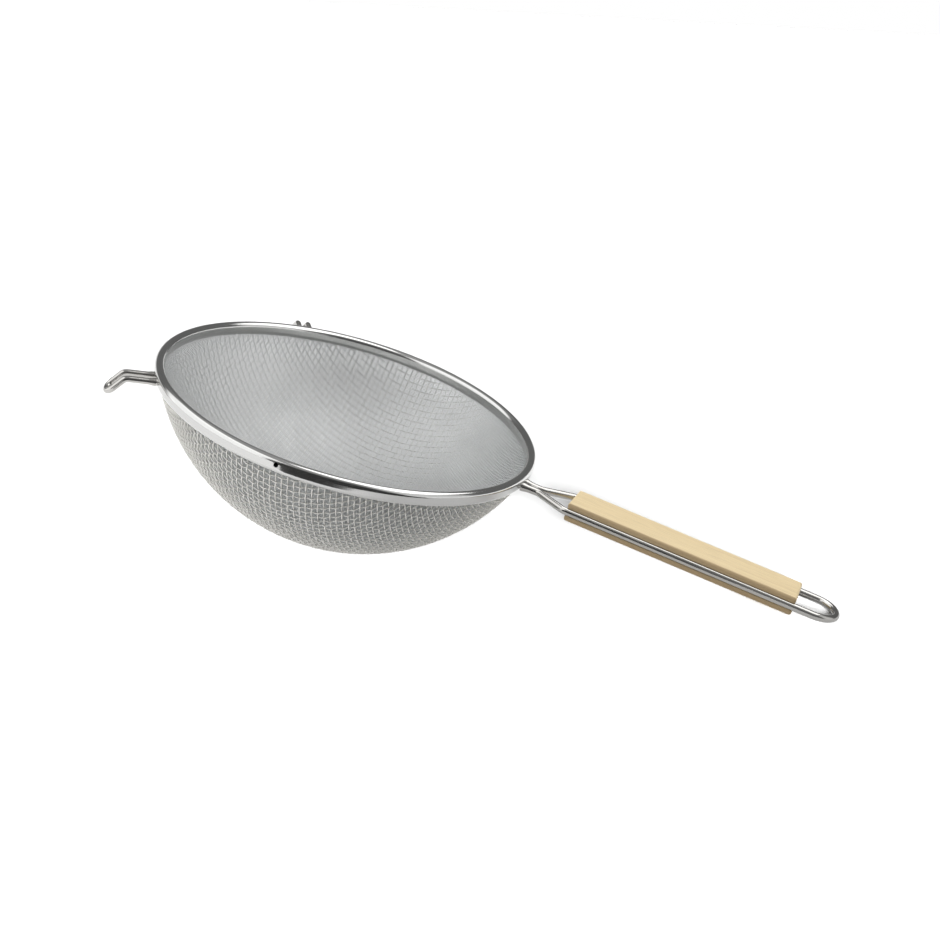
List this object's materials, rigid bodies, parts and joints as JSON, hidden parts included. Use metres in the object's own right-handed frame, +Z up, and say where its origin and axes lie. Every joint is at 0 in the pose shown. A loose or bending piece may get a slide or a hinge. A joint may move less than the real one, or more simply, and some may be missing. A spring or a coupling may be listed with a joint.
{
  "type": "bowl strainer",
  "caption": "Round bowl strainer of layered wire mesh, with a hollow metal rim, a wooden grip on a wire handle with a hanging loop, and wire rest hooks on the far side.",
  "frame": {"origin": "on the table that the strainer rests on, below the middle of its bounding box", "axes": "+Z up, +X towards the grip and its hanging loop, +Y to the side of the right rest hook, seen from the grip looking at the bowl"},
  "size_m": [0.4636, 0.26, 0.1315],
  "materials": {
    "rim_steel": "polished stainless steel",
    "wire_steel": "bright drawn wire",
    "coarse_mesh_steel": "bright woven wire cloth, about six wires to the inch",
    "fine_mesh_steel": "fine woven wire cloth",
    "grip_wood": "pale, smooth, untreated wood"
  },
  "bodies": {
    "root": {"rim_band": "rim_steel", "outer_mesh": "coarse_mesh_steel", "inner_mesh": "fine_mesh_steel", "handle_wire": "wire_steel", "wood_grip": "grip_wood", "left_rest_hook": "wire_steel", "right_rest_hook": "wire_steel"}
  },
  "joints": []
}
